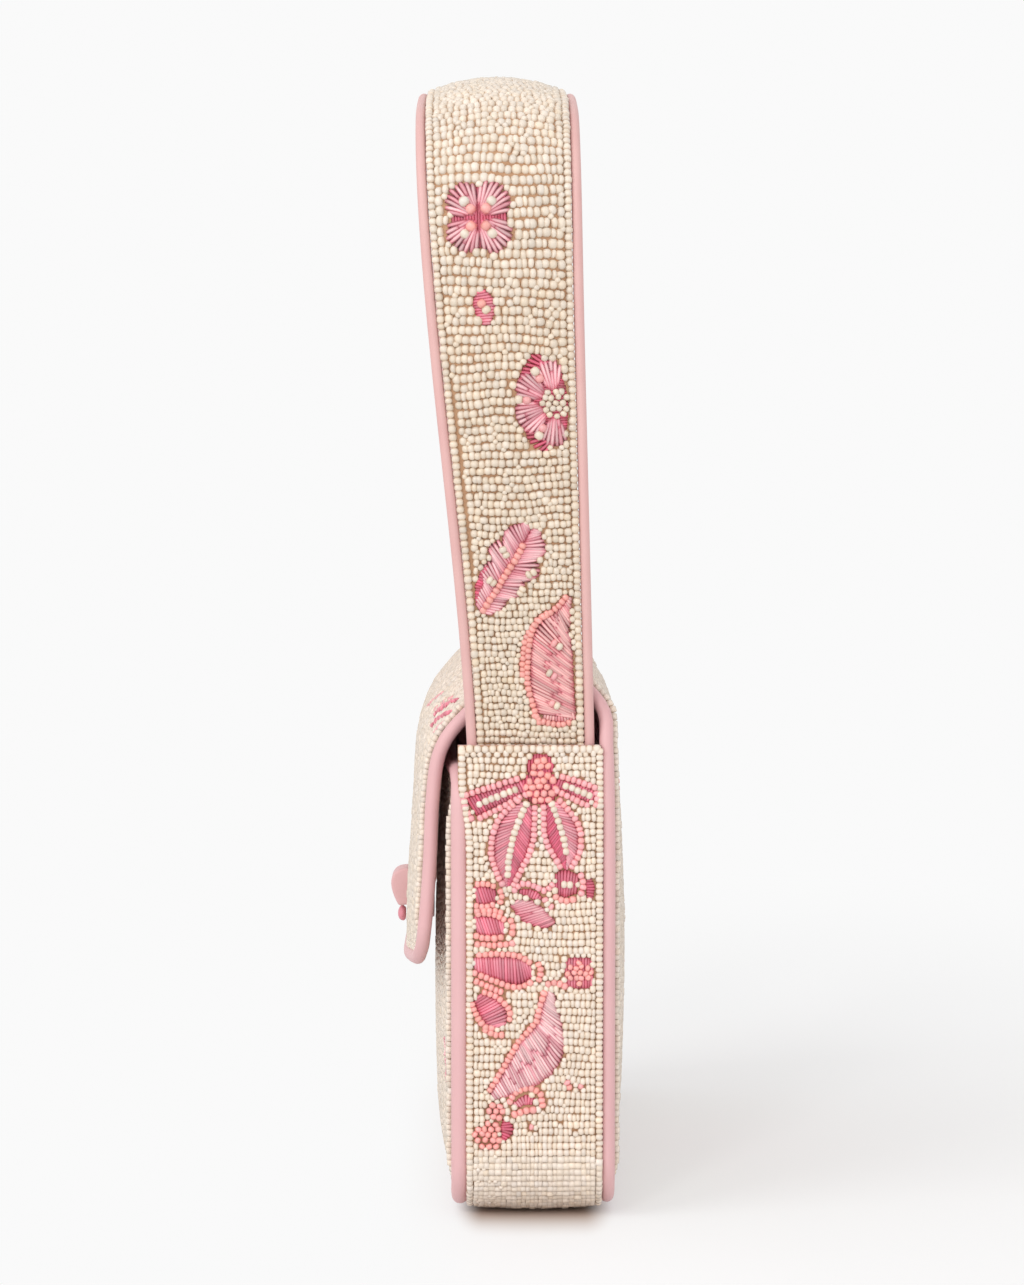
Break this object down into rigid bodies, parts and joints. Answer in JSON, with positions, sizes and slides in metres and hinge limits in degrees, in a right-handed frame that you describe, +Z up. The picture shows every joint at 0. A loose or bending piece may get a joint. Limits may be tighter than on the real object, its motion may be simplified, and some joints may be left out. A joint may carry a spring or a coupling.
{
  "type": "beaded shoulder bag",
  "caption": "Small upright beaded shoulder bag with a rounded fold-over flap, wide arched strap, leather piping along the seams and a leather tab clasp.",
  "frame": {"origin": "middle of the flat base, on the surface that the bag stands on", "axes": "+Z up, X along the bag's length, front with the flap and clasp facing -Y"},
  "size_m": [0.2396, 0.0798, 0.3668],
  "materials": {
    "beadwork": "satin",
    "leather": "satin",
    "deep_leather": "satin"
  },
  "bodies": {
    "root": {"front_panel": "beadwork", "front_piping": "leather", "back_flap": "beadwork", "back_flap_piping": "leather", "gusset": "beadwork", "strap": "beadwork", "strap_piping_front": "leather", "strap_piping_back": "leather", "clasp_tab": "leather", "clasp_knot": "deep_leather", "snap_post": "leather"}
  },
  "joints": []
}
